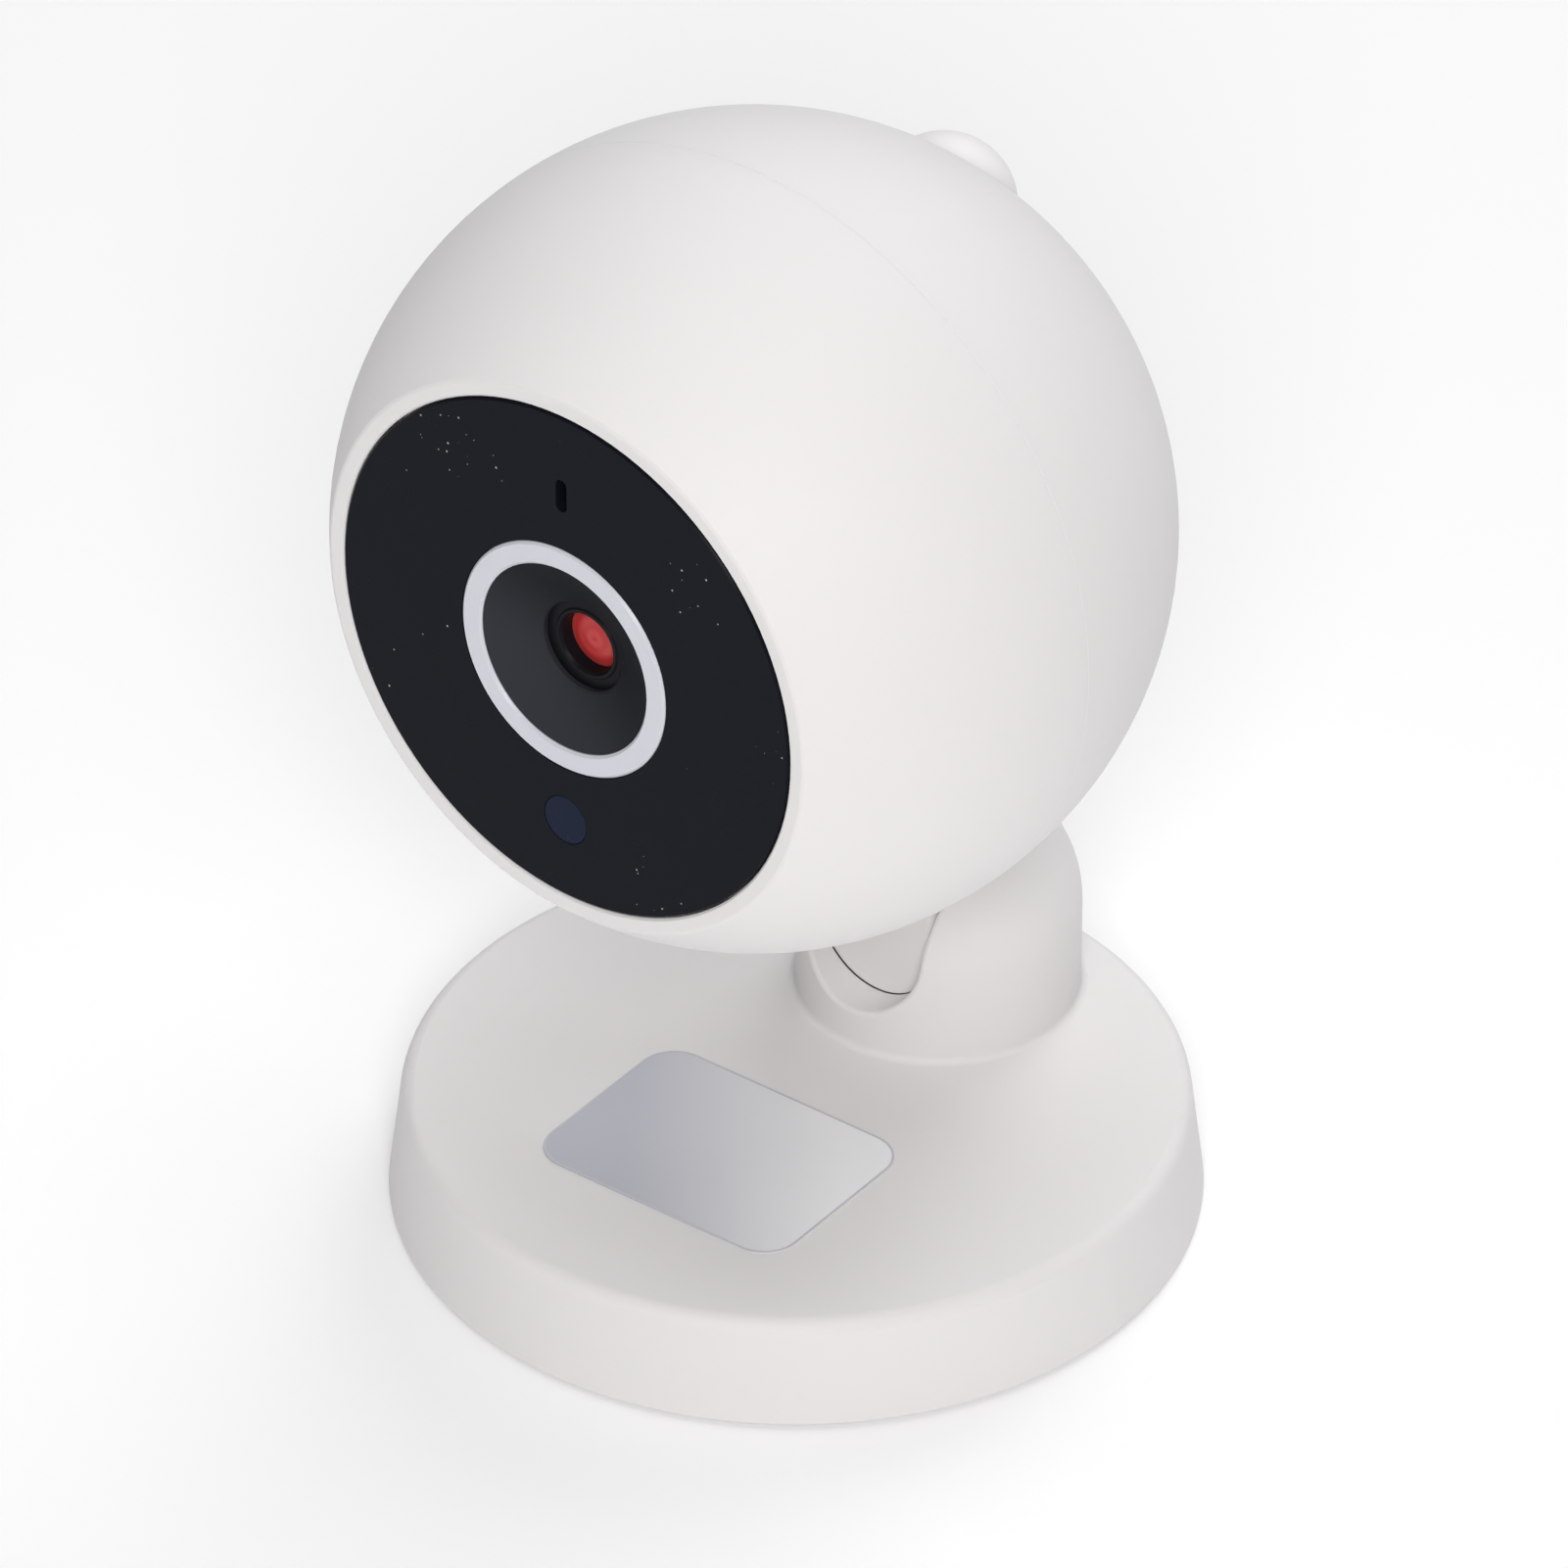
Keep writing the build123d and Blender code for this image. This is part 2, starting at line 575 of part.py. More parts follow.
def sensor_board():
    board = rounded_bar(23, 23, 1.5, SENSOR_BOARD_D, SENSOR_BOARD_D + SENSOR_BOARD_THICK)
    for x, y in SENSOR_BOARD_SCREWS:
        board = board - rod(SCREW_CLEAR_R, 0, 10, x, y)
    return HEAD * board


def screws_forward(points, depth, length):
    """Screws driven towards the face, their heads on this plane."""
    screw = Rot(180, 0, 0) * pan_screw(length)
    return [HEAD * Pos(x, y, depth) * screw for x, y in points]


def front_carrier():
    """The plate behind the face that holds the boards on four long and two short posts."""
    low = CARRIER_D - CARRIER_THICK
    carrier = rod(25.0, low, CARRIER_D) - rod(8.0, low - 1, CARRIER_D + 1)
    for x, y in CARRIER_SCREWS:
        carrier = carrier + rod(2.6, low, CARRIER_D, x, y)
        carrier = carrier + rod(2.6, low, CARRIER_D, 0.92 * x, 0.92 * y)
    board_top = SENSOR_BOARD_D + SENSOR_BOARD_THICK
    for x, y in SENSOR_BOARD_SCREWS:
        carrier = carrier + rod(2.0, board_top, low, x, y)
        carrier = carrier - rod(PLASTIC_SCREW_R, board_top - 1, board_top + 6, x, y)
    for x, y in MAIN_BOARD_SCREWS:
        carrier = carrier + rod(2.2, MAIN_BOARD_D + MAIN_BOARD_THICK, low, x, y)
        carrier = carrier - rod(PLASTIC_SCREW_R, MAIN_BOARD_D, MAIN_BOARD_D + 8, x, y)
    for x, y in CARRIER_SCREWS:
        carrier = carrier - rod(SCREW_CLEAR_R, 0, HEAD_R, x, y)
    return HEAD * carrier


def ir_led_board():
    board = tube(23.2, 13.9, CARRIER_D, CARRIER_D + 1.4)
    return HEAD * board


def ir_leds():
    """Infra-red emitters in a circle, behind the dark panel."""
    low = CARRIER_D + 1.4
    led = Pos(0, 0, low) * (extrude(RectangleRounded(3.0, 3.0, 0.4), 1.0) + rod(1.2, 1.0, 1.7))
    return [HEAD * Pos(x, y, 0) * led for x, y in around(LED_COUNT, LED_CIRCLE_R, 22.5)]


def mic_capsule():
    return HEAD * rod(2.0, CARRIER_D + 1.4, 25.4, y=MIC_Y)


def mic_boot():
    """The rubber sleeve that seals the microphone to the back of the panel."""
    low = CARRIER_D + 1.4
    return HEAD * (rod(2.9, low, FACE_D - PANEL_THICK, y=MIC_Y)
                   - rod(2.0, low - 1, 25.4, y=MIC_Y) - rod(1.2, 25, 30, y=MIC_Y))


def sensor_window():
    window = rod(SENSOR_R, FACE_D - PANEL_THICK, FACE_D - 0.03, y=SENSOR_Y)
    return HEAD * (window + rod(SENSOR_R + 0.7, FACE_D - PANEL_THICK - 0.6, FACE_D - PANEL_THICK, y=SENSOR_Y))


def light_sensor():
    return HEAD * rounded_bar(2.6, 2.2, 0.3, CARRIER_D + 1.4, 25.2, y=SENSOR_Y)


# ---------------------------------------------------------------- electronics
def main_board():
    board = rounded_bar(34, 45, 3, MAIN_BOARD_D, MAIN_BOARD_D + MAIN_BOARD_THICK)
    for x, y in MAIN_BOARD_SCREWS:
        board = board - rod(SCREW_CLEAR_R, -20, 0, x, y)
    return HEAD * board


def main_chips():
    """The shielded radio, the processor and the supply coil on the main board."""
    front = MAIN_BOARD_D + MAIN_BOARD_THICK
    shield = rounded_bar(15, 12, 0.6, front, front + 2.2, y=10)
    processor = rounded_bar(11, 11, 0.3, front, front + 1.1, y=-6)
    coil = rounded_bar(5, 5, 1.0, front, front + 2.4, x=11, y=-5)
    return [HEAD * piece for piece in (shield, processor, coil)]


def speaker():
    """A small round driver: magnet, basket and cone."""
    body = turned([
        (0, SPEAKER_REAR), (6.5, SPEAKER_REAR), (6.5, SPEAKER_REAR + 3), (SPEAKER_R, SPEAKER_FRONT - 1.9),
        (SPEAKER_R, SPEAKER_FRONT), (SPEAKER_R - 1.2, SPEAKER_FRONT), (SPEAKER_R - 2.2, SPEAKER_FRONT + 0.5),
        (SPEAKER_R - 3.4, SPEAKER_FRONT - 0.2), (4.0, SPEAKER_FRONT - 1.8), (0, SPEAKER_FRONT - 0.8),
    ])
    return SPEAKER * body


def speaker_gasket():
    """The foam ring between the driver and the grille."""
    ring = tube(SPEAKER_R, SPEAKER_R - 1.2, SPEAKER_FRONT, HEAD_R) & Sphere(CAVITY_R)
    return SPEAKER * ring


def control_board():
    board = rounded_bar(10.5, 28, 1.2, CONTROL_BOARD_OUT - 1.4, CONTROL_BOARD_OUT)
    for v in (-CONTROL_POST_V, CONTROL_POST_V):
        board = board - rod(SMALL_SCREW_R + 0.2, 20, 40, y=v)
    return CONTROLS * board


def control_board_screws():
    screw = Rot(180, 0, 0) * pan_screw(5.0, SMALL_SCREW_R, 1.4, 0.9)
    seat = CONTROL_BOARD_OUT - 1.4
    return [CONTROLS * Pos(0, v, seat) * screw for v in (-CONTROL_POST_V, CONTROL_POST_V)]


def push_switch():
    body = rounded_bar(5, 5, 0.4, CONTROL_BOARD_OUT, 33.0, y=BUTTON_V) + rod(1.2, 33.0, 34.0, y=BUTTON_V)
    return CONTROLS * body


def slide_switch_body():
    return CONTROLS * rounded_bar(3.4, 6.6, 0.3, CONTROL_BOARD_OUT, 33.2, y=SWITCH_V)


def power_socket():
    """The supply inlet: a flat metal sleeve with a contact tongue."""
    sleeve = rounded_bar(7.6, 2.8, 0.9, CONTROL_BOARD_OUT, 37.4, y=SOCKET_V)
    sleeve = sleeve - rounded_bar(6.9, 2.1, 0.6, 31.4, 40, y=SOCKET_V)
    return CONTROLS * (sleeve + rounded_bar(3.6, 0.6, 0.2, 31.4, 36.4, y=SOCKET_V + 0.35))


def pair_button():
    cap = rod(BUTTON_R, 34.9, 38.5, y=BUTTON_V)
    cap = fillet(cap.edges().filter_by(GeomType.CIRCLE).group_by(SortBy.DISTANCE)[-1], 0.35)
    return CONTROLS * (cap + rod(BUTTON_R + 0.7, 34.9, 35.7, y=BUTTON_V))


def power_switch_knob():
    """A ribbed thumb piece on a stem, at the lower end of its travel."""
    v = SWITCH_V - SWITCH_TRAVEL / 2
    knob = rounded_bar(4.4, 2.2, 0.4, CONTROL_FLAT + 0.1, 38.9, y=v)
    for offset in (-0.55, 0.0, 0.55):
        knob = knob - block(-3, 3, v + offset - 0.12, v + offset + 0.12, 38.7, 39.5)
    return CONTROLS * (knob + rounded_bar(1.4, 1.6, 0.2, 33.3, CONTROL_FLAT + 0.2, y=v))


# ---------------------------------------------------------------- aerial
def aerial():
    """Ball knuckle and round rod, folded down into the rear of the head."""
    shaft = Solid.make_cone(AERIAL_ROD_R, AERIAL_TIP_R, AERIAL_LENGTH - AERIAL_TIP_R)
    tip = Pos(0, 0, AERIAL_LENGTH - AERIAL_TIP_R) * Sphere(AERIAL_TIP_R)
    body = aerial_axis_frame() * (Part() + shaft + tip) + AERIAL * Sphere(AERIAL_BALL_R)
    return body - AERIAL * cross_rod(AERIAL_PIN_R + RUNNING_GAP, -20, 20)


def aerial_pin():
    return AERIAL * cross_rod(AERIAL_PIN_R, -10.0, 10.0)


# ---------------------------------------------------------------- output
NODES = {
    "base_shell": base_shell,
    "base_plate": base_plate,
    "base_screws": base_screws,
    "foot_pad": foot_pad,
    "ballast_weight": ballast_weight,
    "ballast_screws": ballast_screws,
    "base_label": base_label,
    "hinge_bracket": hinge_bracket,
    "bracket_screws": bracket_screws,
    "hinge_pin": hinge_pin,
    "hinge_nut": hinge_nut,
    "friction_washers": friction_washers,
    "tilt_arm": tilt_arm,
    "arm_screws": arm_screws,
    "head_front_shell": head_front_shell,
    "head_rear_shell": head_rear_shell,
    "shell_screws": shell_screws,
    "face_panel": face_panel,
    "light_ring": light_ring,
    "lens_bezel": lens_bezel,
    "lens_barrel": lens_barrel,
    "lens_front_glass": lens_front_glass,
    "lens_rear_glass": lens_rear_glass,
    "lens_holder": lens_holder,
    "image_sensor": image_sensor,
    "sensor_board": sensor_board,
    "sensor_board_screws": lambda: screws_forward(SENSOR_BOARD_SCREWS, SENSOR_BOARD_D, 6.0),
    "front_carrier": front_carrier,
    "carrier_screws": lambda: screws_forward(CARRIER_SCREWS, CARRIER_D - CARRIER_THICK, 4.0),
    "ir_led_board": ir_led_board,
    "ir_leds": ir_leds,
    "mic_capsule": mic_capsule,
    "mic_boot": mic_boot,
    "sensor_window": sensor_window,
    "light_sensor": light_sensor,
    "main_board": main_board,
    "main_board_screws": lambda: screws_forward(MAIN_BOARD_SCREWS, MAIN_BOARD_D, 7.0),
    "main_chips": main_chips,
    "speaker": speaker,
    "speaker_gasket": speaker_gasket,
    "control_board": control_board,
    "control_board_screws": control_board_screws,
    "push_switch": push_switch,
    "slide_switch_body": slide_switch_body,
    "power_socket": power_socket,
    "pair_button": pair_button,
    "power_switch_knob": power_switch_knob,
    "aerial": aerial,
    "aerial_pin": aerial_pin,
}

os.makedirs("parts", exist_ok=True)
for name, make in NODES.items():
    shape = make()
    if isinstance(shape, list):
        shape = Compound(children=shape)
    export_step(shape, os.path.join("parts", name + ".step"))
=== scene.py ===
"""Looks of the baby monitor camera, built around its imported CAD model. Metres, in the same frame."""
import json
import math
import bpy
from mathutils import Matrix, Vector


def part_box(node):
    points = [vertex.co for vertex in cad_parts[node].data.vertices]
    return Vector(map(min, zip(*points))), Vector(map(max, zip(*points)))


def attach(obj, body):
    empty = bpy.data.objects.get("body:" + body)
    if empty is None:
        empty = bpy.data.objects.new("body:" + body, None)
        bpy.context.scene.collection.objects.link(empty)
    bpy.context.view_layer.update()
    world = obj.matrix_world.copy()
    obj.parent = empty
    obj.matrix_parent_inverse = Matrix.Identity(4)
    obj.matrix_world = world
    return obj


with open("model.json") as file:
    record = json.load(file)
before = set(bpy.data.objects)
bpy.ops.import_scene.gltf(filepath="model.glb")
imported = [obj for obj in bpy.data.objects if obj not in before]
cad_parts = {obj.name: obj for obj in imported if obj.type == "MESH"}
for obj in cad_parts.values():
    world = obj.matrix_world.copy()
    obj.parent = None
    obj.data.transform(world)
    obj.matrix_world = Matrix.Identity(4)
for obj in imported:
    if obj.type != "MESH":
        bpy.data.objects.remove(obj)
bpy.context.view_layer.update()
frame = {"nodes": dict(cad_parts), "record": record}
MM = 0.001

# ---------------------------------------------------------------- camera
VIEW_AZIMUTH = 39.15
VIEW_ELEVATION = 35.17
VIEW_DISTANCE = 1.183
VIEW_TARGET = Vector((0, 0, 0.048))
LENS_MM = 282.9
SENSOR_MM = 36
SHIFT_X, SHIFT_Y = -0.0079, -0.0038
CLIP_END = 20


def aim(obj, place, target):
    """Puts an object at a place with its -Z axis towards a target."""
    obj.location = place
    obj.rotation_euler = (Vector(target) - Vector(place)).to_track_quat("-Z", "Y").to_euler()


def make_camera():
    data = bpy.data.cameras.new("view_camera")
    data.lens = LENS_MM
    data.sensor_width = SENSOR_MM
    data.shift_x = SHIFT_X
    data.shift_y = SHIFT_Y
    data.clip_end = CLIP_END
    camera = bpy.data.objects.new("view_camera", data)
    bpy.context.scene.collection.objects.link(camera)
    azimuth, elevation = math.radians(VIEW_AZIMUTH), math.radians(VIEW_ELEVATION)
    back = Vector((
        math.sin(azimuth) * math.cos(elevation),
        -math.cos(azimuth) * math.cos(elevation),
        math.sin(elevation),
    ))
    aim(camera, VIEW_TARGET + back * VIEW_DISTANCE, VIEW_TARGET)
    bpy.context.scene.camera = camera


# ---------------------------------------------------------------- light and floor
SKY_COLOUR = (0.97, 0.98, 1.0)
SKY_STRENGTH = 0.15
WARM = (1.0, 0.982, 0.975)
COOL = (0.985, 0.992, 1.0)
LIGHT_TARGET = (0, 0, 0.06)

# Soft round lamps: name, place, diameter, watts, colour.
LAMPS = [
    ("front", (0.76, -0.94, 0.83), 0.5, 9.4, WARM),
    ("key", (0.80, -0.76, 1.22), 0.6, 2.8, WARM),
    ("overhead", (0.0, 0.2, 1.6), 1.2, 9.3, COOL),
    ("left", (-1.0, -0.3, 1.2), 0.9, 1.5, COOL),
    ("back", (-0.3, 1.5, 0.9), 1.2, 9.6, COOL),
]

FLOOR_HALF = 6.0
FLOOR_WHITE = 0.9
FLOOR_GLOW = 0.12


def area_light(name, place, size, watts, colour):
    data = bpy.data.lights.new(name, "AREA")
    data.shape = "DISK"
    data.size = size
    data.energy = watts
    data.color = colour
    light = bpy.data.objects.new(name, data)
    bpy.context.scene.collection.objects.link(light)
    aim(light, place, LIGHT_TARGET)


def make_lights():
    world = bpy.data.worlds.new("studio")
    bpy.context.scene.world = world
    world.use_nodes = True
    background = world.node_tree.nodes["Background"]
    background.inputs["Color"].default_value = (*SKY_COLOUR, 1)
    background.inputs["Strength"].default_value = SKY_STRENGTH
    for lamp in LAMPS:
        area_light(*lamp)


def make_floor():
    """A large flat pale floor with a faint glow of its own, so that its far edge stays near white."""
    half = FLOOR_HALF
    mesh = bpy.data.meshes.new("floor")
    mesh.from_pydata(
        [(-half, -half, 0), (half, -half, 0), (half, half, 0), (-half, half, 0)], [], [(0, 1, 2, 3)]
    )
    floor = bpy.data.objects.new("floor", mesh)
    bpy.context.scene.collection.objects.link(floor)
    material = Material("floor_white")
    material.set("Base Color", opaque((FLOOR_WHITE, FLOOR_WHITE, FLOOR_WHITE)))
    material.set("Roughness", 0.9)
    material.set("Specular IOR Level", 0.0)
    material.set("Emission Color", opaque((1, 1, 1)))
    material.set("Emission Strength", FLOOR_GLOW)
    mesh.materials.append(material.data)


# ---------------------------------------------------------------- material helper
NOISE_ROUGHNESS = 0.55
NOISE_LOW, NOISE_HIGH = 0.3, 0.7


def opaque(colour):
    return (*colour, 1)


class Material:
    """A new material with its shader, and short ways to add texture nodes to it."""

    def __init__(self, name):
        self.data = bpy.data.materials.new(name)
        self.data.use_nodes = True
        self.nodes = self.data.node_tree.nodes
        self.shader = self.nodes["Principled BSDF"]

    def set(self, name, value):
        """Sets one of the shader's sockets to a value that is the same all over."""
        self.shader.inputs[name].default_value = value

    def join(self, output, socket):
        """Links an output to a node's socket, or to the shader's socket of that name."""
        if isinstance(socket, str):
            socket = self.shader.inputs[socket]
        self.data.node_tree.links.new(output, socket)

    def position(self):
        return self.nodes.new("ShaderNodeTexCoord").outputs["Object"]

    def position_from(self, cad_node):
        """The position measured from the middle of a CAD node's box."""
        low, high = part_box(cad_node)
        place = self.nodes.new("ShaderNodeMapping")
        place.inputs["Location"].default_value = -(low + high) / 2
        self.join(self.position(), place.inputs["Vector"])
        return place.outputs["Vector"]

    def along(self, vector, direction):
        """How far a position lies along a direction."""
        product = self.nodes.new("ShaderNodeVectorMath")
        product.operation = "DOT_PRODUCT"
        product.inputs[1].default_value = direction
        self.join(vector, product.inputs[0])
        return product.outputs["Value"]

    def noise(self, scale, detail=3.0):
        """A noise texture's factor, its scale in features per metre."""
        texture = self.nodes.new("ShaderNodeTexNoise")
        texture.inputs["Scale"].default_value = scale
        texture.inputs["Detail"].default_value = detail
        texture.inputs["Roughness"].default_value = NOISE_ROUGHNESS
        self.join(self.position(), texture.inputs["Vector"])
        return texture.outputs["Fac"]

    def spread(self, factor, low, high):
        """Maps the range that a noise factor mostly keeps to, to a range of values."""
        mapping = self.nodes.new("ShaderNodeMapRange")
        mapping.inputs["From Min"].default_value = NOISE_LOW
        mapping.inputs["From Max"].default_value = NOISE_HIGH
        mapping.inputs["To Min"].default_value = low
        mapping.inputs["To Max"].default_value = high
        self.join(factor, mapping.inputs["Value"])
        return mapping.outputs["Result"]

    def smooth_step(self, value, start, end):
        """0 up to the start, 1 beyond the end, and an even ease between them."""
        step = self.nodes.new("ShaderNodeMapRange")
        step.interpolation_type = "SMOOTHSTEP"
        step.inputs["From Min"].default_value = start
        step.inputs["From Max"].default_value = end
        self.join(value, step.inputs["Value"])
        return step.outputs["Result"]

    def colour_between(self, factor, first, second):
        """Gives the shader a base colour between two colours."""
        mix = self.nodes.new("ShaderNodeMix")
        mix.data_type = "RGBA"
        mix.inputs["A"].default_value = opaque(first)
        mix.inputs["B"].default_value = opaque(second)
        self.join(factor, mix.inputs["Factor"])
        self.join(mix.outputs["Result"], "Base Color")

    def uneven_gloss(self, scale, low, high):
        """Gives the shader a roughness that drifts between two values."""
        self.join(self.spread(self.noise(scale), low, high), "Roughness")

    def grain(self, scale, detail, strength, depth):
        """Gives the shader a fine bump, its depth in metres."""
        bump = self.nodes.new("ShaderNodeBump")
        bump.inputs["Strength"].default_value = strength
        bump.inputs["Distance"].default_value = depth
        self.join(self.noise(scale, detail), bump.inputs["Height"])
        self.join(bump.outputs["Normal"], "Normal")

    def calculate(self, operation, first, second):
        """One Math node on a linked first value and a linked or constant second one."""
        node = self.nodes.new("ShaderNodeMath")
        node.operation = operation
        self.join(first, node.inputs[0])
        if isinstance(second, (int, float)):
            node.inputs[1].default_value = second
        else:
            self.join(second, node.inputs[1])
        return node.outputs[0]


# ---------------------------------------------------------------- plastics
TONE_SCALE = 45
GLOSS_SCALE = 260
GRAIN_SCALE = 5200
GRAIN_STRENGTH = 0.35
GRAIN_DEPTH = 0.012 * MM
PLAIN_GRAIN_DEPTH = 0.01 * MM
RING_GRAIN_DEPTH = 0.003 * MM

# The least and the greatest roughness on one surface.
SATIN = (0.56, 0.66)
RING_SATIN = (0.28, 0.36)

# The two tones that a surface drifts between.
SHELL_WHITE = ((0.800, 0.782, 0.778), (0.822, 0.806, 0.803))
ARM_WHITE = ((0.86, 0.84, 0.835), (0.88, 0.86, 0.855))
RING_MILKY = ((0.655, 0.675, 0.725), (0.685, 0.705, 0.755))

# How far a plain surface's tone and roughness drift from its own.
TONE_DRIFT = 0.08
ROUGHNESS_BELOW, ROUGHNESS_ABOVE = 0.05, 0.06


def moulded_plastic(name, tones, gloss=SATIN, depth=GRAIN_DEPTH):
    """Satin moulded plastic: slight tone drift, fine spark-eroded grain and uneven gloss."""
    material = Material(name)
    material.colour_between(material.noise(TONE_SCALE, detail=2), *tones)
    material.uneven_gloss(GLOSS_SCALE, *gloss)
    material.grain(GRAIN_SCALE, detail=2, strength=GRAIN_STRENGTH, depth=depth)
    return material


def plain_plastic(name, colour, roughness, specular=0.5):
    """Moulded plastic, rubber or lacquer given by one colour, its tone drifting by a few percent."""
    darker = tuple((1 - TONE_DRIFT) * part for part in colour)
    paler = tuple(min(1.0, (1 + TONE_DRIFT) * part) for part in colour)
    gloss = (roughness - ROUGHNESS_BELOW, roughness + ROUGHNESS_ABOVE)
    material = moulded_plastic(name, (darker, paler), gloss, PLAIN_GRAIN_DEPTH)
    material.set("Specular IOR Level", specular)
    return material


def white_shell(name):
    """The white of the head and base, with a little light passing under its skin."""
    material = moulded_plastic(name, SHELL_WHITE)
    material.set("Specular IOR Level", 0.35)
    material.set("Subsurface Weight", 0.12)
    material.set("Subsurface Radius", (1.2 * MM, 1.0 * MM, 0.9 * MM))
    material.set("Subsurface Scale", 1.0)
    return material


def white_arm(name):
    return moulded_plastic(name, ARM_WHITE)


def ring_diffuser(name):
    """Milky bluish plastic that spreads the light of the ring."""
    material = moulded_plastic(name, RING_MILKY, RING_SATIN, RING_GRAIN_DEPTH)
    material.set("Subsurface Weight", 0.3)
    material.set("Subsurface Radius", (2 * MM, 2 * MM, 2 * MM))
    return material


# ---------------------------------------------------------------- dark window
WINDOW_BLACK = (0.0072, 0.0082, 0.0125)
DUST_WHITE = (0.42, 0.42, 0.42)
DUST_PER_METRE = 900
DUST_SIZE = 0.10
PATCH_THRESHOLD = 0.52
STRAY_THRESHOLD = 0.987

# Where dust has settled on the window: distance across and up from its centre, and radius, in mm.
DUST_PATCHES = [
    (-13.7, 18.3, 3.9),
    (-8.5, 18.0, 2.0),
    (15.8, 14.2, 3.6),
    (11.2, -21.5, 3.8),
    (25.5, 0.0, 3.0),
]


def dust_patches(material):
    """1 inside the round patches of the window where dust has settled, 0 elsewhere."""
    low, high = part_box("face_panel")
    centre = (low + high) / 2
    mask = None
    for across, up, radius in DUST_PATCHES:
        distance = material.nodes.new("ShaderNodeVectorMath")
        distance.operation = "DISTANCE"
        distance.inputs[1].default_value = (centre.x + across * MM, low.y, centre.z + up * MM)
        material.join(material.position(), distance.inputs[0])
        inside = material.calculate("LESS_THAN", distance.outputs["Value"], radius * MM)
        mask = inside if mask is None else material.calculate("MAXIMUM", mask, inside)
    return mask


def dust(material):
    """1 on each speck of dust, 0 elsewhere: some cells of a flat cell pattern hold a speck of random size."""
    split = material.nodes.new("ShaderNodeSeparateXYZ")
    material.join(material.position(), split.inputs[0])
    flat = material.nodes.new("ShaderNodeCombineXYZ")
    material.join(split.outputs["X"], flat.inputs["X"])
    material.join(split.outputs["Z"], flat.inputs["Y"])
    cells = material.nodes.new("ShaderNodeTexVoronoi")
    cells.voronoi_dimensions = "2D"
    cells.inputs["Scale"].default_value = DUST_PER_METRE
    material.join(flat.outputs["Vector"], cells.inputs["Vector"])
    chance = material.nodes.new("ShaderNodeSeparateColor")
    material.join(cells.outputs["Color"], chance.inputs[0])
    in_patch = material.calculate("MULTIPLY", chance.outputs["Red"], dust_patches(material))
    settled = material.calculate("GREATER_THAN", in_patch, PATCH_THRESHOLD)
    stray = material.calculate("GREATER_THAN", chance.outputs["Green"], STRAY_THRESHOLD)
    kept = material.calculate("MAXIMUM", settled, stray)
    size = material.calculate("MULTIPLY", chance.outputs["Blue"], DUST_SIZE)
    speck = material.calculate("LESS_THAN", cells.outputs["Distance"], size)
    return material.calculate("MULTIPLY", speck, kept)


def dark_window(name):
    """Glossy near-black window with patches of fine white dust."""
    material = Material(name)
    material.colour_between(dust(material), WINDOW_BLACK, DUST_WHITE)
    material.uneven_gloss(scale=90, low=0.2, high=0.3)
    material.set("Specular IOR Level", 0.05)
    return material


# ---------------------------------------------------------------- lens
# Matt black of the moulding, and the paler grey of the light painted onto the funnel's lit side.
FUNNEL_DARK = (0.014, 0.015, 0.019)
FUNNEL_PAINTED_LIGHT = (0.036, 0.038, 0.045)
# Painted light on the funnel: towards which side it turns paler, as if lit there, and between which parts of
# its radius.
FUNNEL_LIT_SIDE = (-0.6, 0, -0.8)
FUNNEL_LIGHT_FROM, FUNNEL_LIGHT_TO = -0.5, 0.7
# Red of the front element, and the paler red of the concentric rings of painted reflection on it.
GLASS_RED = (0.53, 0.036, 0.038)
GLASS_RED_REFLECTION = (0.58, 0.058, 0.056)
GLASS_RING_SCALE = 260


def black_matt(name):
    """Matt black moulding; the funnel round the lens has painted light, a little greyer towards its lower -X
    side.
    """
    material = Material(name)
    low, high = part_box("lens_bezel")
    radius = (high.x - low.x) / 2
    outward = tuple(part / radius for part in FUNNEL_LIT_SIDE)
    # Painted light: paler towards the funnel's lit lower -X side.
    side = material.along(material.position_from("lens_bezel"), outward)
    painted_light = material.smooth_step(side, FUNNEL_LIGHT_FROM, FUNNEL_LIGHT_TO)
    material.colour_between(painted_light, FUNNEL_DARK, FUNNEL_PAINTED_LIGHT)
    material.uneven_gloss(GLOSS_SCALE, low=0.5, high=0.6)
    material.set("Specular IOR Level", 0.04)
    material.grain(scale=4200, detail=2, strength=0.3, depth=0.02 * MM)
    return material


def red_coated_glass(name):
    """The front element, with fine concentric rings of painted reflection on its red."""
    material = Material(name)
    # Painted reflection: fine concentric rings of paler red.
    reflection_rings = material.nodes.new("ShaderNodeTexWave")
    reflection_rings.wave_type = "RINGS"
    reflection_rings.rings_direction = "Y"
    reflection_rings.inputs["Scale"].default_value = GLASS_RING_SCALE
    reflection_rings.inputs["Distortion"].default_value = 0.0
    material.join(material.position_from("lens_front_glass"), reflection_rings.inputs["Vector"])
    material.colour_between(reflection_rings.outputs["Fac"], GLASS_RED, GLASS_RED_REFLECTION)
    material.set("Roughness", 0.25)
    material.set("Specular IOR Level", 0.2)
    return material


# ---------------------------------------------------------------- foil and metal
# Painted reflection on the foil: its dark bluish and pale ends, the direction across the sticker along which
# it turns, and where it turns.
FOIL_PAINTED_DARK_REFLECTION = (0.53, 0.54, 0.60)
FOIL_PAINTED_BRIGHT_REFLECTION = (0.93, 0.935, 0.94)
FOIL_REFLECTION_DIRECTION = (0.776, 0.631, 0)
FOIL_REFLECTION_FROM, FOIL_REFLECTION_TO = -11 * MM, 13 * MM
STEEL_DARK = (0.52, 0.52, 0.53)
STEEL_PALE = (0.64, 0.64, 0.65)


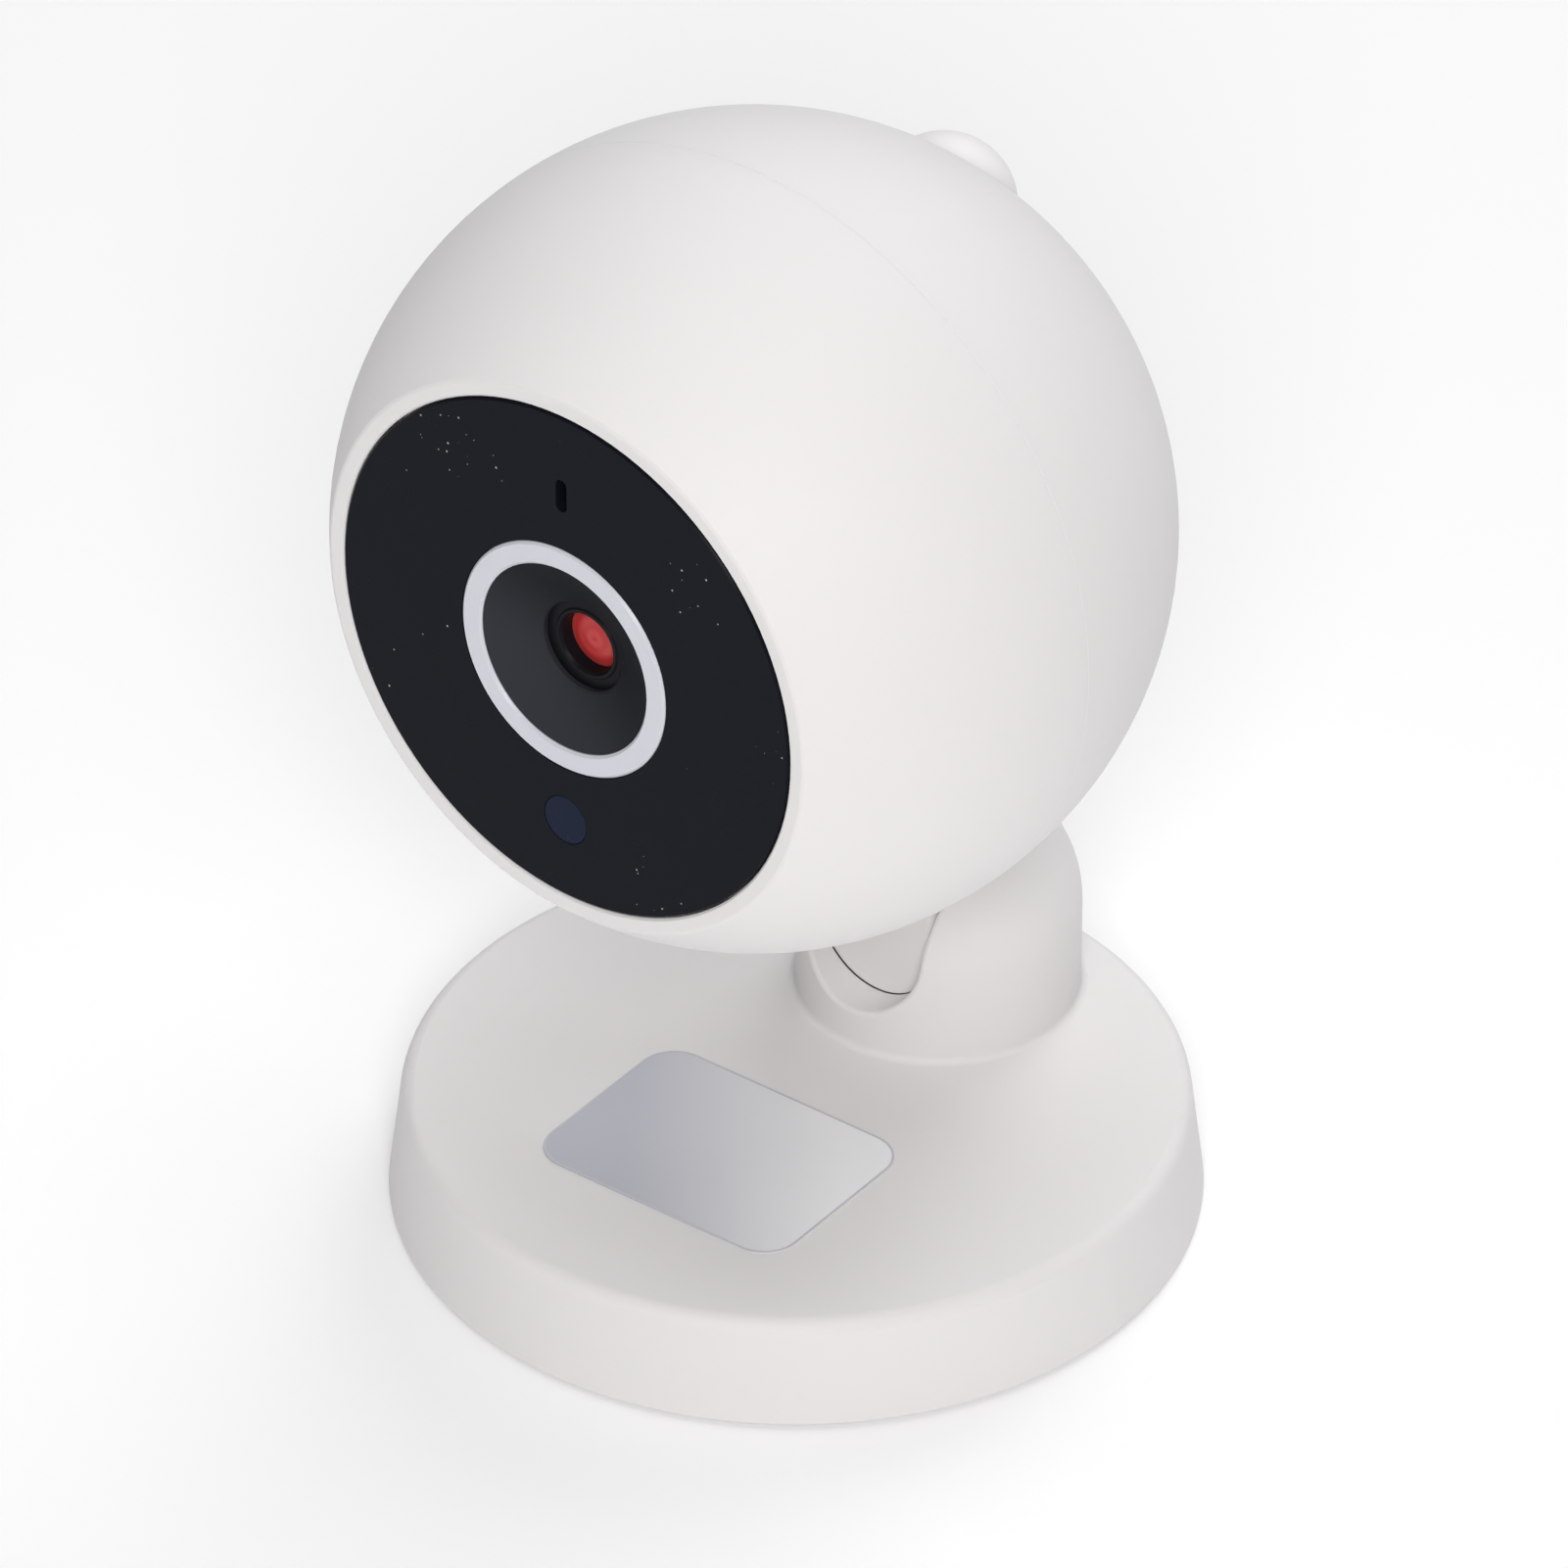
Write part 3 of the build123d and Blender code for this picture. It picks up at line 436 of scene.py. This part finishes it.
def silver_label(name):
    """Foil sticker with a painted reflection, a dark bluish tone that turns paler from one side to the other,
    and faint creases.
    """
    material = Material(name)
    along = material.along(material.position_from("base_label"), FOIL_REFLECTION_DIRECTION)
    # Painted reflection: darker on one side of the sticker, paler on the other.
    painted_reflection = material.smooth_step(along, FOIL_REFLECTION_FROM, FOIL_REFLECTION_TO)
    material.colour_between(painted_reflection, FOIL_PAINTED_DARK_REFLECTION, FOIL_PAINTED_BRIGHT_REFLECTION)
    material.uneven_gloss(scale=120, low=0.38, high=0.46)
    material.grain(scale=900, detail=4, strength=0.15, depth=0.01 * MM)
    return material


def steel(name):
    """Plated steel with fine uneven gloss."""
    material = Material(name)
    material.colour_between(material.noise(scale=700), STEEL_DARK, STEEL_PALE)
    material.set("Metallic", 1.0)
    material.uneven_gloss(scale=1500, low=0.25, high=0.4)
    return material


# ---------------------------------------------------------------- materials by slot
SPECIAL_FINISHES = {
    "white_shell": white_shell,
    "white_arm": white_arm,
    "dark_window": dark_window,
    "ring_diffuser": ring_diffuser,
    "black_matt": black_matt,
    "red_coated_glass": red_coated_glass,
    "silver_label": silver_label,
    "steel": steel,
    "socket_steel": steel,
}

# Slots of one plain colour: colour, roughness and, where it isn't 0.5, the specular level.
RUBBER = ((0.035, 0.035, 0.037), 0.8)
PLAIN_FINISHES = {
    "lens_black": ((0.009, 0.0095, 0.012), 0.42, 0.07),
    "clear_glass": ((0.5, 0.55, 0.55), 0.1),
    "blue_window": ((0.0065, 0.012, 0.036), 0.25, 0.08),
    "foot_rubber": RUBBER,
    "boot_rubber": RUBBER,
    "foam": RUBBER,
    "grey_base_cover": ((0.74, 0.73, 0.72), 0.5),
    "cast_weight": ((0.2, 0.2, 0.21), 0.6),
    "nylon": ((0.65, 0.64, 0.6), 0.45),
    "circuit_board": ((0.02, 0.16, 0.06), 0.35),
    "silicon": ((0.1, 0.08, 0.16), 0.15),
    "led_clear": ((0.2, 0.12, 0.16), 0.15),
    "chip_black": ((0.03, 0.03, 0.03), 0.5),
    "switch_black": ((0.03, 0.03, 0.032), 0.45),
    "speaker_paper": ((0.05, 0.05, 0.05), 0.85),
}


def dress_cad_nodes():
    """Gives every CAD node the material of its slot in the record."""
    made = {slot: make(slot) for slot, make in SPECIAL_FINISHES.items()}
    made.update({slot: plain_plastic(slot, *finish) for slot, finish in PLAIN_FINISHES.items()})
    for part in frame["record"]["subparts"]:
        mesh = frame["nodes"][part["node"]].data
        mesh.materials.clear()
        mesh.materials.append(made[part["material_slot"]].data)


# ---------------------------------------------------------------- label border
LABEL_CORNER = 3.8 * MM
LABEL_SKEW = math.radians(2.15)
BORDER_WIDTH = 0.24 * MM
BORDER_RISE = 0.03 * MM
BORDER_SINK = 0.02 * MM
BORDER_FINISH = ((0.58, 0.59, 0.63), 0.4)
CORNER_STEPS = 10


def rounded_outline(half_width, half_depth, corner):
    """Points of a rectangle with round corners, in order."""
    points = []
    for quarter, (side_x, side_y) in enumerate(((1, 1), (-1, 1), (-1, -1), (1, -1))):
        for step in range(CORNER_STEPS + 1):
            angle = math.radians(90 * quarter + 90 * step / CORNER_STEPS)
            points.append((
                side_x * (half_width - corner) + corner * math.cos(angle),
                side_y * (half_depth - corner) + corner * math.sin(angle),
            ))
    return points


def label_half_size(low, high):
    """Half the sticker's width and depth, worked out from the box of the turned sticker."""
    cosine, sine = math.cos(LABEL_SKEW), math.sin(LABEL_SKEW)
    across = (high.x - low.x) / 2 - LABEL_CORNER
    deep = (high.y - low.y) / 2 - LABEL_CORNER
    # The round corners' centres reach w cos + d sin across and w sin + d cos deep: solved for w and d.
    span = cosine ** 2 - sine ** 2
    half_width = (across * cosine - deep * sine) / span + LABEL_CORNER
    half_depth = (deep * cosine - across * sine) / span + LABEL_CORNER
    return half_width, half_depth


def label_border():
    """The narrow pressed edge of the sticker, as a raised rim round its outline."""
    low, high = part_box("base_label")
    centre = (low + high) / 2
    cosine, sine = math.cos(LABEL_SKEW), math.sin(LABEL_SKEW)
    half_width, half_depth = label_half_size(low, high)
    section = [(0, -BORDER_SINK), (0, BORDER_RISE), (BORDER_WIDTH, BORDER_RISE), (BORDER_WIDTH, -BORDER_SINK)]
    vertices = []
    for inward, height in section:
        outline = rounded_outline(half_width - inward, half_depth - inward, LABEL_CORNER - inward)
        vertices += [
            (centre.x + x * cosine - y * sine, centre.y + x * sine + y * cosine, high.z + height)
            for x, y in outline
        ]
    count = len(vertices) // len(section)
    faces = []
    for ring in range(len(section)):
        start = ring * count
        other = (ring + 1) % len(section) * count
        for index in range(count):
            after = (index + 1) % count
            faces.append((start + index, start + after, other + after, other + index))
    mesh = bpy.data.meshes.new("label_border")
    mesh.from_pydata(vertices, [], faces)
    border = bpy.data.objects.new("label_border", mesh)
    bpy.context.scene.collection.objects.link(border)
    mesh.materials.append(plain_plastic("label_edge", *BORDER_FINISH).data)
    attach(border, "base")


make_camera()
make_lights()
make_floor()
dress_cad_nodes()
label_border()

bpy.context.scene.view_settings.view_transform = "Standard"
